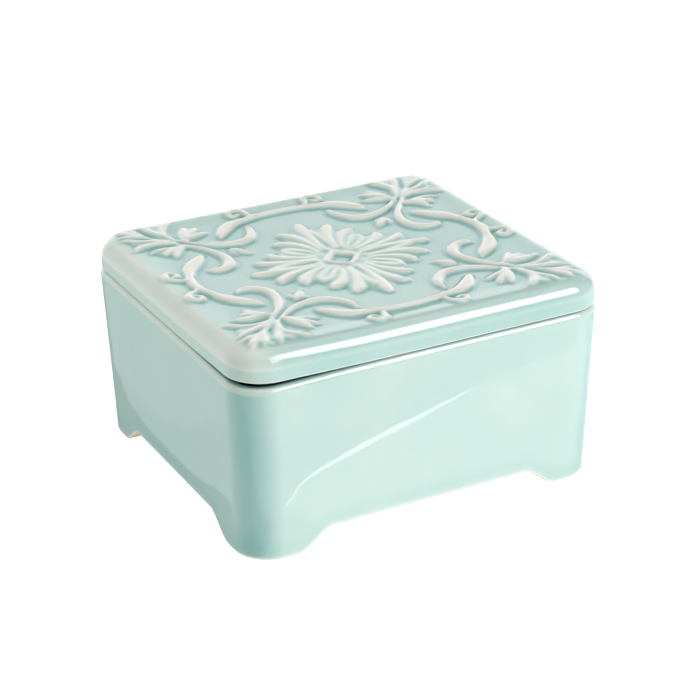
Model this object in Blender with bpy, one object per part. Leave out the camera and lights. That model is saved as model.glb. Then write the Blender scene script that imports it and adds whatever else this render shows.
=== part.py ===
"""Glazed ceramic vanity trinket box: a footed base and a loose lift-off lid with moulded scrollwork.

Metres, +Z up. The origin is on the surface that the box stands on, under the middle of the box. The
long front faces -Y. The lid's own origin is in the plane of its seat, on the line that it lifts along.
"""

import math

import bmesh
import bpy

MM = 0.001

# Base, measured across its rim
BASE_LENGTH = 125.8 * MM
BASE_WIDTH = 117.0 * MM
BASE_HEIGHT = 58.0 * MM
WALL_LEAN = 1.75 * MM  # each wall leans in by this much from the rim to the sole
CORNER_RADIUS = 12.2 * MM
CORNER_SEGMENTS = 6
RIM_RADIUS = 3.0 * MM
RIM_WIDTH = 5.2 * MM
INNER_RIM_RADIUS = 1.2 * MM

# Well and underside
WELL_DEPTH = 44.5 * MM
WELL_DRAFT = 2.0 * MM
WELL_FILLET = 3.0 * MM
SOLE_RADIUS = 1.2 * MM
FOOT_THICKNESS = 8.0 * MM
UNDERSIDE_HEIGHT = 8.5 * MM
UNDERSIDE_DRAFT = 0.8 * MM

# Arches between the feet: each side's opening is flat along the top and comes down in an ogee
ARCH_HEIGHT = 7.0 * MM
OGEE_RUN = 12.5 * MM
FRONT_ARCH_REACH = 33.5 * MM  # from the middle to where the ogee starts
SIDE_ARCH_REACH = 28.0 * MM
OGEE_SEGMENTS = 7
CUTTER_MARGIN = 6.0 * MM

# Lid
LID_LENGTH = 125.0 * MM
LID_WIDTH = 116.1 * MM
SEAT_GAP = 0.3 * MM
LID_THICKNESS = 9.75 * MM
LID_EDGE_RADIUS = 6.2 * MM
LID_EDGE_SEGMENTS = 5
LID_ARRIS = 0.6 * MM
BORDER_WIDTH = 1.5 * MM
FIELD_DEPTH = 0.5 * MM

# Locating flange under the lid, which drops inside the rim
FLANGE_INSET = 6.4 * MM
FLANGE_DROP = 4.0 * MM
FLANGE_THICKNESS = 3.6 * MM
FLANGE_DRAFT = 0.3 * MM
LID_HOLLOW = 2.0 * MM

# Moulded relief: half-round strokes, flattened, and sunk a little so that they join the field
RELIEF_FLATTEN = 0.72
RELIEF_SINK = 0.25 * MM
STROKE_STEPS = 2
STROKE_SIDES = 1  # one gives a six-sided stroke

# Strokes are lists of (x, y, half width) in millimetres from the lid's middle, for the +X +Y quarter.
# Each is repeated in all four quarters.
QUARTER_STROKES = {
    "scroll_to_side": [(41, 33, 0.6), (36.5, 28, 1.0), (33.2, 22, 1.5), (32.8, 16.5, 1.9),
                       (34.8, 11.6, 2.0), (38.2, 8.9, 1.5), (42.3, 8.2, 0.5)],
    "scroll_to_front": [(39.5, 36, 0.6), (34.5, 31, 1.0), (28, 27.3, 1.7), (22, 26.6, 2.0),
                        (17.6, 29.2, 1.8), (15.3, 33.2, 1.3), (14.8, 37.2, 0.5)],
    "front_ribbon": [(11, 43.7, 1.3), (15.5, 42.4, 2.1), (20, 40, 2.2), (24, 36.2, 1.7), (27, 32, 0.4)],
    "side_ribbon": [(48.6, 8, 1.3), (46.6, 13, 2.1), (43, 16.5, 1.9), (38.3, 20.2, 0.4)],
    "front_curl": [(8.6, 44.2, 0.8), (11.2, 46.4, 0.8), (11.9, 50, 0.9), (14.6, 51.3, 0.9),
                   (16.4, 49.2, 0.8), (14.8, 47.8, 0.6)],
    "side_curl": [(50.4, 2, 0.9), (53.4, 4.2, 0.8), (56.2, 6.4, 0.9), (55.6, 9.6, 0.9),
                  (52.8, 9.8, 0.8), (52.4, 7.6, 0.6)],
    "bud": [(27.2, 21, 0.5), (25.4, 19.4, 1.5), (23.8, 17.8, 0.5)],
    "bud_petals": [(23.9, 21.4, 0.4), (25.6, 19.5, 1.1), (27.6, 17.8, 0.4)],
    "side_leaf": [(39.6, 31.2, 0.6), (44, 31.6, 1.5), (48.3, 29.4, 1.5), (47.5, 25, 0.4)],
    "side_leaf_inner": [(40.6, 30.8, 0.8), (43.8, 27.4, 1.2), (43.3, 22.8, 0.4)],
    "side_leaf_outer": [(45, 31.4, 0.9), (48.6, 32.2, 0.9), (51.4, 31, 0.4)],
    "front_leaf": [(38, 34.6, 0.6), (38.4, 39.8, 1.5), (36, 45, 0.4)],
    "front_leaf_middle": [(38, 37.4, 0.9), (35.2, 41.3, 1.2), (32.4, 43.8, 0.4)],
    "front_leaf_inner": [(37.6, 36.6, 0.8), (33.4, 38.9, 1.2), (29.3, 38, 0.4)],
    "corner_frond_side": [(42, 35.4, 0.6), (47, 37.4, 1.2), (52.2, 36.6, 1.3), (55.3, 32, 0.4)],
    "corner_frond_long": [(43.6, 36.8, 0.6), (50, 39.4, 1.3), (56, 42, 0.4)],
    "corner_fan": [(41.4, 37.2, 0.6), (42.4, 44, 1.5), (43, 52, 0.4)],
    "corner_fan_inner": [(42.1, 41.2, 0.9), (40.4, 46.4, 1.2), (38.2, 50.2, 0.4)],
    "corner_fan_outer": [(42.3, 41.4, 0.9), (45.2, 46.6, 1.2), (46.8, 51.5, 0.4)],
    "corner_bud": [(50, 44.4, 0.5), (52.4, 47, 1.7), (54.8, 50, 0.4)],
    "corner_bud_petals": [(49.8, 48.8, 0.4), (52, 46.8, 1.2), (55, 45.4, 0.4)],
    "rosette_lobe_front_1": [(0.9, 9.4, 0.7), (3.2, 17, 1.1), (5.7, 23, 1.7), (7.2, 26.4, 0.5)],
    "rosette_lobe_front_2": [(2.2, 8.6, 0.7), (6.2, 13.4, 1.1), (9.8, 17, 1.6), (11.9, 19.3, 0.5)],
    "rosette_lobe_front_3": [(4, 7.4, 0.6), (7.6, 10.6, 1.0), (11.2, 14.4, 1.1), (13.3, 15, 0.4)],
    "rosette_lobe_side_1": [(9.4, 0.9, 0.7), (17, 3.2, 1.1), (22.8, 6, 1.7), (25.9, 7.7, 0.5)],
    "rosette_lobe_side_2": [(8.6, 2.2, 0.7), (13.4, 6.2, 1.1), (17.4, 10, 1.6), (20, 12.3, 0.5)],
    "rosette_lobe_side_3": [(7.4, 4, 0.6), (10.6, 7.6, 1.0), (14.4, 10.8, 1.1), (15.2, 13, 0.4)],
}

# Strokes that cross a centre line, repeated only on the opposite side
FRONT_AND_BACK_STROKES = {
    "front_garland": [(-12, 43.4, 1.4), (-7, 44.8, 1.5), (0, 45.2, 1.6), (7, 44.8, 1.5), (12, 43.4, 1.4)],
    "rosette_leaf_front": [(0, 8.4, 0.9), (0, 17, 1.2), (0, 27, 2.3), (0, 32.3, 0.6)],
}
LEFT_AND_RIGHT_STROKES = {
    "side_garland": [(48.2, -8.5, 1.4), (49.9, -4, 1.7), (50.5, 0, 1.9), (49.9, 4, 1.7), (48.2, 8.5, 1.4)],
    "rosette_leaf_side": [(8.4, 0, 0.9), (17, 0, 1.2), (26, 0, 2.3), (31.3, 0, 0.6)],
}
MEDALLION_REACH = 5.4  # millimetres, half diagonal of the diamond ring's centre line
MEDALLION_BLUNT = 0.9
MEDALLION_HALF_WIDTH = 1.25

GLAZE_COLOUR = (0.61, 0.80, 0.76, 1.0)
LID_GLAZE_COLOUR = (0.64, 0.79, 0.78, 1.0)
GLAZE_ROUGHNESS = 0.08


def clear_scene():
    for thing in list(bpy.data.objects):
        bpy.data.objects.remove(thing, do_unlink=True)


def new_collection(name):
    collection = bpy.data.collections.new(name)
    bpy.context.scene.collection.children.link(collection)
    return collection


def glaze(name, colour):
    material = bpy.data.materials.new(name)
    material.use_nodes = True
    shader = material.node_tree.nodes["Principled BSDF"]
    shader.inputs["Base Color"].default_value = colour
    shader.inputs["Roughness"].default_value = GLAZE_ROUGHNESS
    shader.inputs["Metallic"].default_value = 0.0
    return material


def round_edges(bm, edges, radius, segments):
    bmesh.ops.bevel(bm, geom=list(edges), offset=radius, segments=segments, profile=0.5,
                    affect="EDGES", clamp_overlap=False)


def inset(bm, face, thickness, rise=0.0):
    """Shrinks a flat face by thickness and moves it along its normal by rise."""
    bmesh.ops.inset_region(bm, faces=[face], thickness=thickness, depth=rise, use_even_offset=True)


def flat_face(bm, direction):
    """The outermost flat face that looks up (1) or down (-1)."""
    bm.normal_update()
    level = [face for face in bm.faces if face.normal.z * direction > 0.999]
    return max(level, key=lambda face: face.calc_center_median().z * direction)


def sharp_edges_at(bm, height):
    """Edges at one height where two faces meet at more than half a right angle."""
    bm.normal_update()
    return [edge for edge in bm.edges
            if all(abs(vertex.co.z - height) < 0.01 * MM for vertex in edge.verts)
            and edge.calc_face_angle(0.0) > math.radians(45)]


def rounded_block(length, width, height, lean):
    """A block on z = 0 with rounded upright corners, whose sides lean in by lean at the bottom."""
    bm = bmesh.new()
    bmesh.ops.create_cube(bm, size=1.0)
    for vertex in bm.verts:
        top = vertex.co.z > 0
        shrink = 0.0 if top else 2 * lean
        vertex.co.x *= length - shrink
        vertex.co.y *= width - shrink
        vertex.co.z = height if top else 0.0
    uprights = [edge for edge in bm.edges if abs(edge.verts[0].co.z - edge.verts[1].co.z) > height / 2]
    round_edges(bm, uprights, CORNER_RADIUS, CORNER_SEGMENTS)
    return bm


def finish_object(bm, name, collection, material):
    mesh = bpy.data.meshes.new(name)
    bmesh.ops.recalc_face_normals(bm, faces=bm.faces)
    bm.to_mesh(mesh)
    bm.free()
    mesh.shade_smooth()
    mesh.set_sharp_from_angle(angle=math.radians(35))
    made = bpy.data.objects.new(name, mesh)
    collection.objects.link(made)
    if material:
        mesh.materials.append(material)
    return made


def curve_to_mesh(curve_object, name, collection):
    """Replaces a curve object by a closed mesh object with welded caps."""
    bpy.context.view_layer.update()
    evaluated = curve_object.evaluated_get(bpy.context.evaluated_depsgraph_get())
    mesh = bpy.data.meshes.new_from_object(evaluated)
    bm = bmesh.new()
    bm.from_mesh(mesh)
    bmesh.ops.remove_doubles(bm, verts=bm.verts, dist=0.002 * MM)
    bmesh.ops.recalc_face_normals(bm, faces=bm.faces)
    bm.to_mesh(mesh)
    bm.free()
    made = bpy.data.objects.new(name, mesh)
    made.matrix_world = curve_object.matrix_world
    collection.objects.link(made)
    bpy.data.objects.remove(curve_object, do_unlink=True)
    made.hide_render = True
    made.display_type = "WIRE"
    return made


def arch_cutter(name, reach, half_depth, turn, cutters):
    """A bar with the arch's outline: flat top, ogee sides and an open bottom, running right through."""
    curve = bpy.data.curves.new(name, "CURVE")
    curve.dimensions = "2D"
    curve.fill_mode = "BOTH"
    curve.extrude = half_depth
    curve.resolution_u = OGEE_SEGMENTS
    spline = curve.splines.new("BEZIER")
    foot = reach + OGEE_RUN
    outline = [(-foot, 0.0), (-reach, ARCH_HEIGHT), (reach, ARCH_HEIGHT), (foot, 0.0),
               (foot, -CUTTER_MARGIN), (-foot, -CUTTER_MARGIN)]
    spline.bezier_points.add(len(outline) - 1)
    pull = OGEE_RUN * 0.5
    for point, (across, up) in zip(spline.bezier_points, outline):
        point.co = (across, up, 0.0)
        point.handle_left_type = "VECTOR"
        point.handle_right_type = "VECTOR"
        if up >= 0.0:
            point.handle_left_type = "FREE"
            point.handle_right_type = "FREE"
            point.handle_left = (across - pull, up, 0.0)
            point.handle_right = (across + pull, up, 0.0)
    spline.bezier_points[0].handle_left = (-foot, -CUTTER_MARGIN / 3, 0.0)
    spline.bezier_points[3].handle_right = (foot, -CUTTER_MARGIN / 3, 0.0)
    spline.use_cyclic_u = True
    bar = bpy.data.objects.new(name, curve)
    bar.rotation_euler = (math.radians(90), 0.0, turn)
    cutters.objects.link(bar)
    return curve_to_mesh(bar, name, cutters)


def join_with(target, other, operation, overlapping=False):
    """Adds an exact Boolean; overlapping says that the other mesh's own pieces cross each other."""
    boolean = target.modifiers.new(other.name, "BOOLEAN")
    boolean.operation = operation
    boolean.object = other
    boolean.solver = "EXACT"
    boolean.use_self = overlapping


def make_base(parts, cutters):
    bm = rounded_block(BASE_LENGTH, BASE_WIDTH, BASE_HEIGHT, WALL_LEAN)
    round_edges(bm, flat_face(bm, 1).edges, RIM_RADIUS, 4)
    round_edges(bm, flat_face(bm, -1).edges, SOLE_RADIUS, 2)

    rim = flat_face(bm, 1)
    inset(bm, rim, RIM_WIDTH - RIM_RADIUS)
    inset(bm, rim, WELL_DRAFT, -WELL_DEPTH)
    round_edges(bm, rim.edges, WELL_FILLET, 3)
    round_edges(bm, sharp_edges_at(bm, BASE_HEIGHT), INNER_RIM_RADIUS, 2)

    sole = flat_face(bm, -1)
    inset(bm, sole, FOOT_THICKNESS - SOLE_RADIUS)
    inset(bm, sole, UNDERSIDE_DRAFT, -UNDERSIDE_HEIGHT)

    base = finish_object(bm, "box_base", parts, glaze("base_glaze", GLAZE_COLOUR))
    front = arch_cutter("front_arch", FRONT_ARCH_REACH, BASE_WIDTH / 2 + CUTTER_MARGIN, 0.0, cutters)
    side = arch_cutter("side_arch", SIDE_ARCH_REACH, BASE_LENGTH / 2 + CUTTER_MARGIN,
                       math.radians(90), cutters)
    join_with(base, front, "DIFFERENCE")
    join_with(base, side, "DIFFERENCE")
    return base


def add_stroke(curve, points, flip_x=1, flip_y=1):
    spline = curve.splines.new("BEZIER")
    spline.bezier_points.add(len(points) - 1)
    for point, (across, along, half_width) in zip(spline.bezier_points, points):
        point.co = (across * flip_x * MM, along * flip_y * MM, 0.0)
        point.radius = half_width
        point.handle_left_type = "AUTO"
        point.handle_right_type = "AUTO"


def add_medallion(curve):
    spline = curve.splines.new("POLY")
    corners = [(1, 0), (0, 1), (-1, 0), (0, -1)]
    spline.points.add(2 * len(corners) - 1)
    for index, (across, along) in enumerate(corners):
        for side in (0, 1):
            blunt = MEDALLION_BLUNT * (2 * side - 1)
            x = across * MEDALLION_REACH - along * blunt
            y = along * MEDALLION_REACH + across * blunt
            point = spline.points[2 * index + side]
            point.co = (x * MM, y * MM, 0.0, 1.0)
            point.radius = MEDALLION_HALF_WIDTH
    spline.use_cyclic_u = True


def make_relief(cutters, field_height):
    """The scrollwork as one mesh of crossing half-round strokes."""
    curve = bpy.data.curves.new("scrollwork", "CURVE")
    curve.dimensions = "3D"
    curve.bevel_depth = 1.0 * MM
    curve.bevel_resolution = STROKE_SIDES
    curve.resolution_u = STROKE_STEPS
    curve.use_fill_caps = True
    for points in QUARTER_STROKES.values():
        for flip_x in (1, -1):
            for flip_y in (1, -1):
                add_stroke(curve, points, flip_x, flip_y)
    for points in FRONT_AND_BACK_STROKES.values():
        for flip_y in (1, -1):
            add_stroke(curve, points, 1, flip_y)
    for points in LEFT_AND_RIGHT_STROKES.values():
        for flip_x in (1, -1):
            add_stroke(curve, points, flip_x, 1)
    add_medallion(curve)
    strokes = bpy.data.objects.new("scrollwork", curve)
    strokes.location.z = field_height - RELIEF_SINK
    strokes.scale.z = RELIEF_FLATTEN
    cutters.objects.link(strokes)
    return curve_to_mesh(strokes, "scrollwork", cutters)


def make_lid(parts, cutters):
    bm = rounded_block(LID_LENGTH, LID_WIDTH, LID_THICKNESS, 0.0)
    round_edges(bm, flat_face(bm, 1).edges, LID_EDGE_RADIUS, LID_EDGE_SEGMENTS)
    round_edges(bm, flat_face(bm, -1).edges, LID_ARRIS, 2)

    field = flat_face(bm, 1)
    inset(bm, field, BORDER_WIDTH, -FIELD_DEPTH)

    seat = flat_face(bm, -1)
    inset(bm, seat, FLANGE_INSET - LID_ARRIS)
    inset(bm, seat, FLANGE_DRAFT, FLANGE_DROP)
    inset(bm, seat, FLANGE_THICKNESS - 2 * FLANGE_DRAFT)
    inset(bm, seat, FLANGE_DRAFT, -FLANGE_DROP - LID_HOLLOW)

    lid = finish_object(bm, "lid", parts, glaze("lid_glaze", LID_GLAZE_COLOUR))
    lid.location.z = BASE_HEIGHT + SEAT_GAP
    field_height = BASE_HEIGHT + SEAT_GAP + LID_THICKNESS - FIELD_DEPTH
    join_with(lid, make_relief(cutters, field_height), "UNION", overlapping=True)
    return lid


clear_scene()
part_collection = new_collection("vanity_trinket_box")
cutter_collection = new_collection("cutters")
make_base(part_collection, cutter_collection)
make_lid(part_collection, cutter_collection)
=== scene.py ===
"""Looks of the glazed ceramic vanity trinket box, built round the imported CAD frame.

The base and the lid are each one closed, fine mesh that stands for its CAD node. The lid's relief is a height
field worked up from brush strokes; the glaze gathers in its hollows and thins on its ridges.
"""

import math

import bmesh
import bpy
import numpy as np
from mathutils import Matrix, Vector


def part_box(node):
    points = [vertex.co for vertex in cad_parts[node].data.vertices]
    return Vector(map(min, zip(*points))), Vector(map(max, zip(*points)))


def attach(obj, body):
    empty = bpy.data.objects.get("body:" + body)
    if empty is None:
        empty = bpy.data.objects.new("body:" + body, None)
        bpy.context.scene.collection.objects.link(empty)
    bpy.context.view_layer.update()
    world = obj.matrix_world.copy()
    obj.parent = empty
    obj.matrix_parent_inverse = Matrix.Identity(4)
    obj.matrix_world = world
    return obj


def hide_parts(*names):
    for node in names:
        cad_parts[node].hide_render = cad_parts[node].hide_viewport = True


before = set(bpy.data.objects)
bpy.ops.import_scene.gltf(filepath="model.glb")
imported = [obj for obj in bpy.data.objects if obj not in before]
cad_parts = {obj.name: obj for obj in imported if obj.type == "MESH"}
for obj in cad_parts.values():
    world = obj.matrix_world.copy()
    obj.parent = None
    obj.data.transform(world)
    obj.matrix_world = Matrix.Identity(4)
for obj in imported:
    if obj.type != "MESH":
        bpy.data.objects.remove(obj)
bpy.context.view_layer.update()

MM = 0.001

# ---------------------------------------------------------------- sizes, from the frame, in millimetres
base_low, base_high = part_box("box_base")
lid_low, lid_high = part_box("lid")

# The photo's outline asks for slightly more than the CAD has.
BASE_EXTRA_X = 0.25
BASE_EXTRA_Y = 0.1
LID_EXTRA_X = 0.2

BASE_HALF_X = (base_high.x - base_low.x) / 2 / MM + BASE_EXTRA_X
BASE_HALF_Y = (base_high.y - base_low.y) / 2 / MM + BASE_EXTRA_Y
BASE_HEIGHT = base_high.z / MM
LID_HALF_X = (lid_high.x - lid_low.x) / 2 / MM + LID_EXTRA_X
LID_HALF_Y = (lid_high.y - lid_low.y) / 2 / MM

CORNER_RADIUS = 12.2
WALL_LEAN = 1.75
RIM_RADIUS = 2.4
RIM_DIP = 1.3
RIM_WIDTH = 5.2
INNER_RIM_RADIUS = 1.2
WELL_FLOOR = 13.5
WELL_DRAFT = 2.0
WELL_FILLET = 4.0
SOLE_RADIUS = 0.8
SOLE_INNER_RADIUS = 0.8
FOOT_THICKNESS = 8.0
FOOT_DRAFT = 0.8
UNDERSIDE_HEIGHT = 8.5
UNDERSIDE_FILLET = 1.4
ARCH_HEIGHT = 6.6
OGEE_RUN = 12.5
FRONT_ARCH_REACH = 33.5
SIDE_ARCH_REACH = 28.0

SEAT_CLEARANCE = 0.3
LID_THICKNESS = 9.75
SEAT_HEIGHT = BASE_HEIGHT + SEAT_CLEARANCE
LID_TOP = SEAT_HEIGHT + LID_THICKNESS
LID_EDGE_RADIUS = 6.2
LID_ARRIS = 0.6
FIELD_DEPTH = 0.5
BORDER_INSET = 4.0
BORDER_FALL = 9.0
FIELD_SAG = 1.9
SEAT_GROOVE = 1.2
GROOVE_FILLET = 0.7
FLANGE_INSET = 6.4
FLANGE_THICKNESS = 3.6
FLANGE_DROP = 4.0
FLANGE_ROUND = 1.2
FLANGE_DRAFT = 0.3
LID_HOLLOW = 2.0
HOLLOW_FILLET = 1.5

# unevenness of cast and fired clay
LID_SHIFT_X = 0.4
BASE_SHIFT_X = 0.25
SIDE_DRAW = 0.15
FRONT_DRAW = 0.25
DRAW_POWER = 6
DRAW_WAVE = 1.5
CORNER_WARP = 0.6
WARP_INSET = 6
BASE_WARP_REACH = 24
BASE_WARP_START = 30
LID_WARP_REACH = 26

# ---------------------------------------------------------------- glaze thickness, from 0 thin to 1 pooled
PLAIN_GLAZE = 0.5
SOLE_GLAZE = 0.3
FILLET_GLAZE = 0.7
# painted shade: glaze as deep as pooled on the rim's seat and in the lid's groove, darkening the gap where
# the lid sits
RIM_SEAT_PAINTED_SHADE = 0.95
WELL_FILLET_GLAZE = 0.72
WELL_EDGE_GLAZE = 0.55
GROOVE_PAINTED_SHADE = 0.95
GROOVE_FILLET_PAINTED_SHADE = 0.8
FLANGE_EDGE_GLAZE = 0.25
ARRIS_GLAZE = 0.16

# painted shade: deeper glaze on the base's rounded corners and its end walls, where the light falls more
# dimly
CORNER_PAINTED_SHADE = 0.17
CORNER_PAINTED_SHADE_POWER = 1.5
END_WALL_PAINTED_SHADE = 0.11
FOOT_THINNING = 0.22
FOOT_THIN_HEIGHT = 0.8
FOOT_POOL = 0.04
FOOT_POOL_HEIGHT = 3.5
FOOT_POOL_SPREAD = 2.5
RIM_THINNING = 0.09
# painted shade: the glaze deepens at the top of the rim's outer rounding, under the lid's edge
RIM_SHADE_START = 0.85
RIM_PAINTED_SHADE_GAIN = 3

FIELD_GLAZE = 0.58
EDGE_GLAZE = 0.56
# painted light: the lid's edge gets thinner, paler glaze towards its left end, where more light falls;
# LEFT_SIDE_GAIN gives back a little glaze on the upright part there
LEFT_EDGE_PAINTED_LIGHT = 0.18
LEFT_FADE_START = 14
LEFT_FADE_RUN = 8
SIDE_GAIN = 0.06
LEFT_SIDE_GAIN = 0.07
BORDER_FADE_END = 7.5
BORDER_FADE_RUN = 4
BORDER_THINNING = 0.08
BORDER_THIN_INSET = 4.2
BORDER_THIN_SPREAD = 1.8

NEAR_BLUR = 1.0
WIDE_BLUR = 2.4
NEAR_POOLING = 0.80
WIDE_POOLING = 0.16
RIDGE_THINNING = 0.26
RIDGE_START = 0.35
RIDGE_RUN = 0.85

# ---------------------------------------------------------------- how the strokes are drawn
RASTER_STEP = 0.2
STROKE_BLEND = 4.0
SLIM_STROKE = 1.4
WIDE_STROKE = 1.9
SLIM_FULLNESS = 1.32
WIDE_FULLNESS = 1.18
BLUNT_TIP = 0.75
ROUND_CROWN = 0.7
FLAT_CROWN = 2.2
FULL_HEIGHT_WIDTH = 1.3
TAPER_POWER = 0.6
RELIEF_SOFTNESS = 0.44


# ---------------------------------------------------------------- the relief's strokes
# (x, y, half width) in millimetres from the lid's middle, for the quarter where both are positive.
# Every stroke says how high it stands. A flat stroke has a level top, as the ribbon ends have.
QUARTER_STROKES = [
    # the two C-scrolls that leave the corner
    (1.35, "round", [(41.6, 34.6, 0.5), (38.6, 31, 0.9), (35.4, 26.8, 1.2), (33.1, 21.8, 1.6),
                     (32.2, 17, 1.9), (33, 12.8, 2.1), (35.6, 10, 2.0), (38.8, 9, 1.6), (41.4, 9.8, 0.8)]),
    (1.35, "round", [(40.6, 37, 0.5), (37.2, 33.8, 0.8), (33.4, 30.6, 1.2), (28.8, 28.1, 1.6),
                     (24, 27.2, 2.0), (20, 28.2, 2.1), (17, 31.2, 1.8), (15.3, 34.9, 1.4),
                     (15, 38.4, 0.7)]),
    # ribbon ends of the garlands
    (1.3, "flat", [(11.5, 43.9, 1.2), (15, 43.2, 1.6), (18.5, 42.2, 2.2), (21.6, 40, 2.4), (24, 37.4, 2.0),
                   (25.7, 35.2, 1.4), (26.6, 33.8, 0.6)]),
    (1.3, "flat", [(48.9, 7.8, 1.3), (47.6, 11.4, 1.9), (45.5, 14.8, 2.5), (42.6, 17.9, 2.3),
                   (40, 20.5, 1.5), (38.3, 22.4, 0.6)]),
    # small spiral curls on the garlands
    (1.1, "round", [(9, 44.8, 0.8), (10.6, 46.2, 0.9), (11.1, 48.4, 1.1), (11.9, 50.4, 1.2),
                    (13.9, 51.4, 1.2), (16, 50.4, 1.0), (16.6, 48.4, 0.9), (15.2, 47.2, 0.8),
                    (13.9, 48.2, 0.9)]),
    (1.1, "round", [(50.6, 3, 1.0), (52.4, 4.8, 1.0), (54.8, 6, 1.1), (56.4, 7.8, 1.2), (56.4, 10.2, 1.2),
                    (54.5, 11.7, 1.2), (52.5, 10.6, 1.0), (52.7, 8.9, 0.9), (54, 8.6, 0.9)]),
    # bud between the scrolls
    (1.15, "round", [(28.2, 23.6, 0.5), (27, 22, 1.3), (25.4, 20.2, 1.5), (24, 18.6, 0.9),
                     (23.2, 17.7, 0.4)]),
    (0.9, "round", [(27.4, 23.4, 0.6), (25.6, 23, 0.8), (23.9, 22, 0.5)]),
    (0.9, "round", [(28.3, 22.2, 0.6), (28.4, 20.2, 0.8), (27.6, 18.4, 0.5)]),
    # leaf on the side scroll
    (1.2, "round", [(39.8, 31.4, 0.7), (42.4, 30.6, 1.5), (45, 29.5, 2.1), (47.2, 28.5, 1.6),
                    (48.9, 27.7, 0.6)]),
    (1.15, "round", [(42.4, 30.2, 1.1), (44.6, 27.8, 1.4), (45.8, 25.6, 1.0), (46, 24.4, 0.4)]),
    (1.1, "round", [(43.6, 31.4, 1.2), (47.4, 31.9, 1.5), (50.6, 31.4, 1.0), (52.6, 30.6, 0.4)]),
    # leaf on the front scroll
    (1.2, "round", [(38.4, 34.8, 0.8), (37.6, 37.8, 1.5), (36.4, 40.8, 2.0), (35.2, 43.8, 1.5),
                    (34.2, 46.2, 0.6)]),
    (1.15, "round", [(37.2, 38, 1.2), (34.6, 40.9, 1.5), (32.3, 43.1, 1.2), (30.8, 44.5, 0.5)]),
    (1.1, "round", [(37, 36.8, 1.0), (33.8, 38.2, 1.3), (31, 39.2, 1.1), (29, 39.8, 0.4)]),
    # fronds that run into the corner
    (1.15, "round", [(41.2, 34.8, 0.6), (44.4, 36.5, 0.9), (48, 37.3, 1.1), (51.6, 36.8, 1.4),
                     (54.4, 35.4, 1.3), (56.4, 33.8, 0.5)]),
    (1.15, "round", [(43.4, 37.6, 0.6), (46.8, 39.3, 1.0), (50.6, 40.6, 1.4), (53.8, 42.2, 1.4),
                     (56.6, 44.2, 0.5)]),
    (1.15, "round", [(40.6, 36.8, 0.6), (42, 40.4, 1.0), (42.7, 44, 1.3), (41.7, 47.4, 1.6),
                     (39.7, 50.1, 1.4), (37.6, 51.9, 0.5)]),
    (1.1, "round", [(42.6, 42, 0.8), (44.7, 45.8, 1.2), (46.3, 49.2, 1.3), (47.3, 52.2, 0.5)]),
    # corner bud and its stem
    (1.0, "round", [(42.6, 37.6, 0.6), (46, 40.8, 0.8), (49, 43.6, 0.8)]),
    (1.05, "round", [(48.6, 44, 0.7), (49.9, 47.2, 1.2), (51.3, 50, 1.2), (52.2, 52, 0.5)]),
    (1.1, "round", [(49, 43.6, 0.8), (51.7, 46.5, 1.4), (54, 49.3, 1.3), (55.6, 51.3, 0.5)]),
    (1.0, "round", [(49, 43, 0.6), (51.6, 44.7, 1.0), (54.4, 45.9, 1.1), (56.6, 46.7, 0.4)]),
]

# Low pads that join the fingers of the leaves
QUARTER_PADS = [
    (0.62, "flat", [(40, 32.5, 1.0), (44, 31, 2.6), (47.5, 30, 2.2), (49.5, 29.4, 1.0)]),
    (0.62, "flat", [(38.4, 36, 1.2), (36, 39.6, 3.0), (34, 42.4, 2.6), (33, 44, 1.2)]),
    (0.62, "flat", [(42, 36.5, 1.2), (47, 38.8, 2.2), (51.5, 39.6, 2.6), (53.5, 40, 1.5)]),
    (0.62, "flat", [(42, 39, 1.2), (43.4, 44, 2.2), (43.2, 48, 3.0), (43, 50, 2.0)]),
    (0.62, "flat", [(48, 43, 1.0), (51, 46.4, 2.6), (53, 48.6, 2.4)]),
    (0.6, "flat", [(5, 5, 2.0), (8.4, 8.6, 3.0), (11, 11.2, 2.4)]),
    (0.6, "flat", [(7.6, 0, 1.6), (6.6, 3.2, 1.8), (4.9, 4.9, 1.8), (3.2, 6.6, 1.8), (0, 7.6, 1.6)]),
]

# Strokes of one rosette leaf, which points along +Y. The side lobes are mirrored.
LEAF_MIDDLE = [
    (0.5, "flat", [(0, 8, 3.4), (0, 14, 5.6), (0, 20, 6.4), (0, 25, 4.4)]),
    (1.2, "round", [(-1.1, 8, 0.9), (-1.4, 14, 1.3), (-1.2, 20, 1.9), (-0.6, 26, 2.4), (0, 29.6, 2.1),
                    (0.2, 31.6, 1.1)]),
    (1.1, "round", [(1.6, 8, 0.8), (1.9, 14, 1.2), (1.9, 20, 1.7), (1.3, 24.6, 1.7)]),
]
LEAF_LOBES = [
    (0.55, "flat", [(3.2, 9, 1.6), (4.6, 15, 2.6), (6.2, 20.5, 3.0), (7, 23, 2.4)]),
    (0.55, "flat", [(5, 8, 1.6), (8, 13.2, 2.6), (10.6, 16.6, 2.8), (11.8, 17.8, 2.0)]),
    (1.2, "round", [(2.9, 8.4, 0.8), (3.5, 13.5, 1.2), (4.5, 18.6, 1.9), (6.0, 22.8, 2.4), (7.6, 25.4, 2.0),
                    (9.0, 26.4, 1.1)]),
    (1.15, "round", [(4.4, 7.6, 0.8), (5.6, 11.6, 1.3), (7.5, 15.3, 2.0), (9.9, 18.2, 2.4), (12, 19.7, 1.9),
                     (13.6, 19.8, 1.1)]),
    (1.0, "round", [(5.5, 6.4, 0.7), (7.2, 9.2, 1.1), (9.4, 11.8, 1.7), (11.6, 13.7, 1.9),
                    (13.3, 14.3, 1.4), (14.4, 13.9, 0.8)]),
]
SIDE_LEAF_SCALE = 0.965

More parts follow.
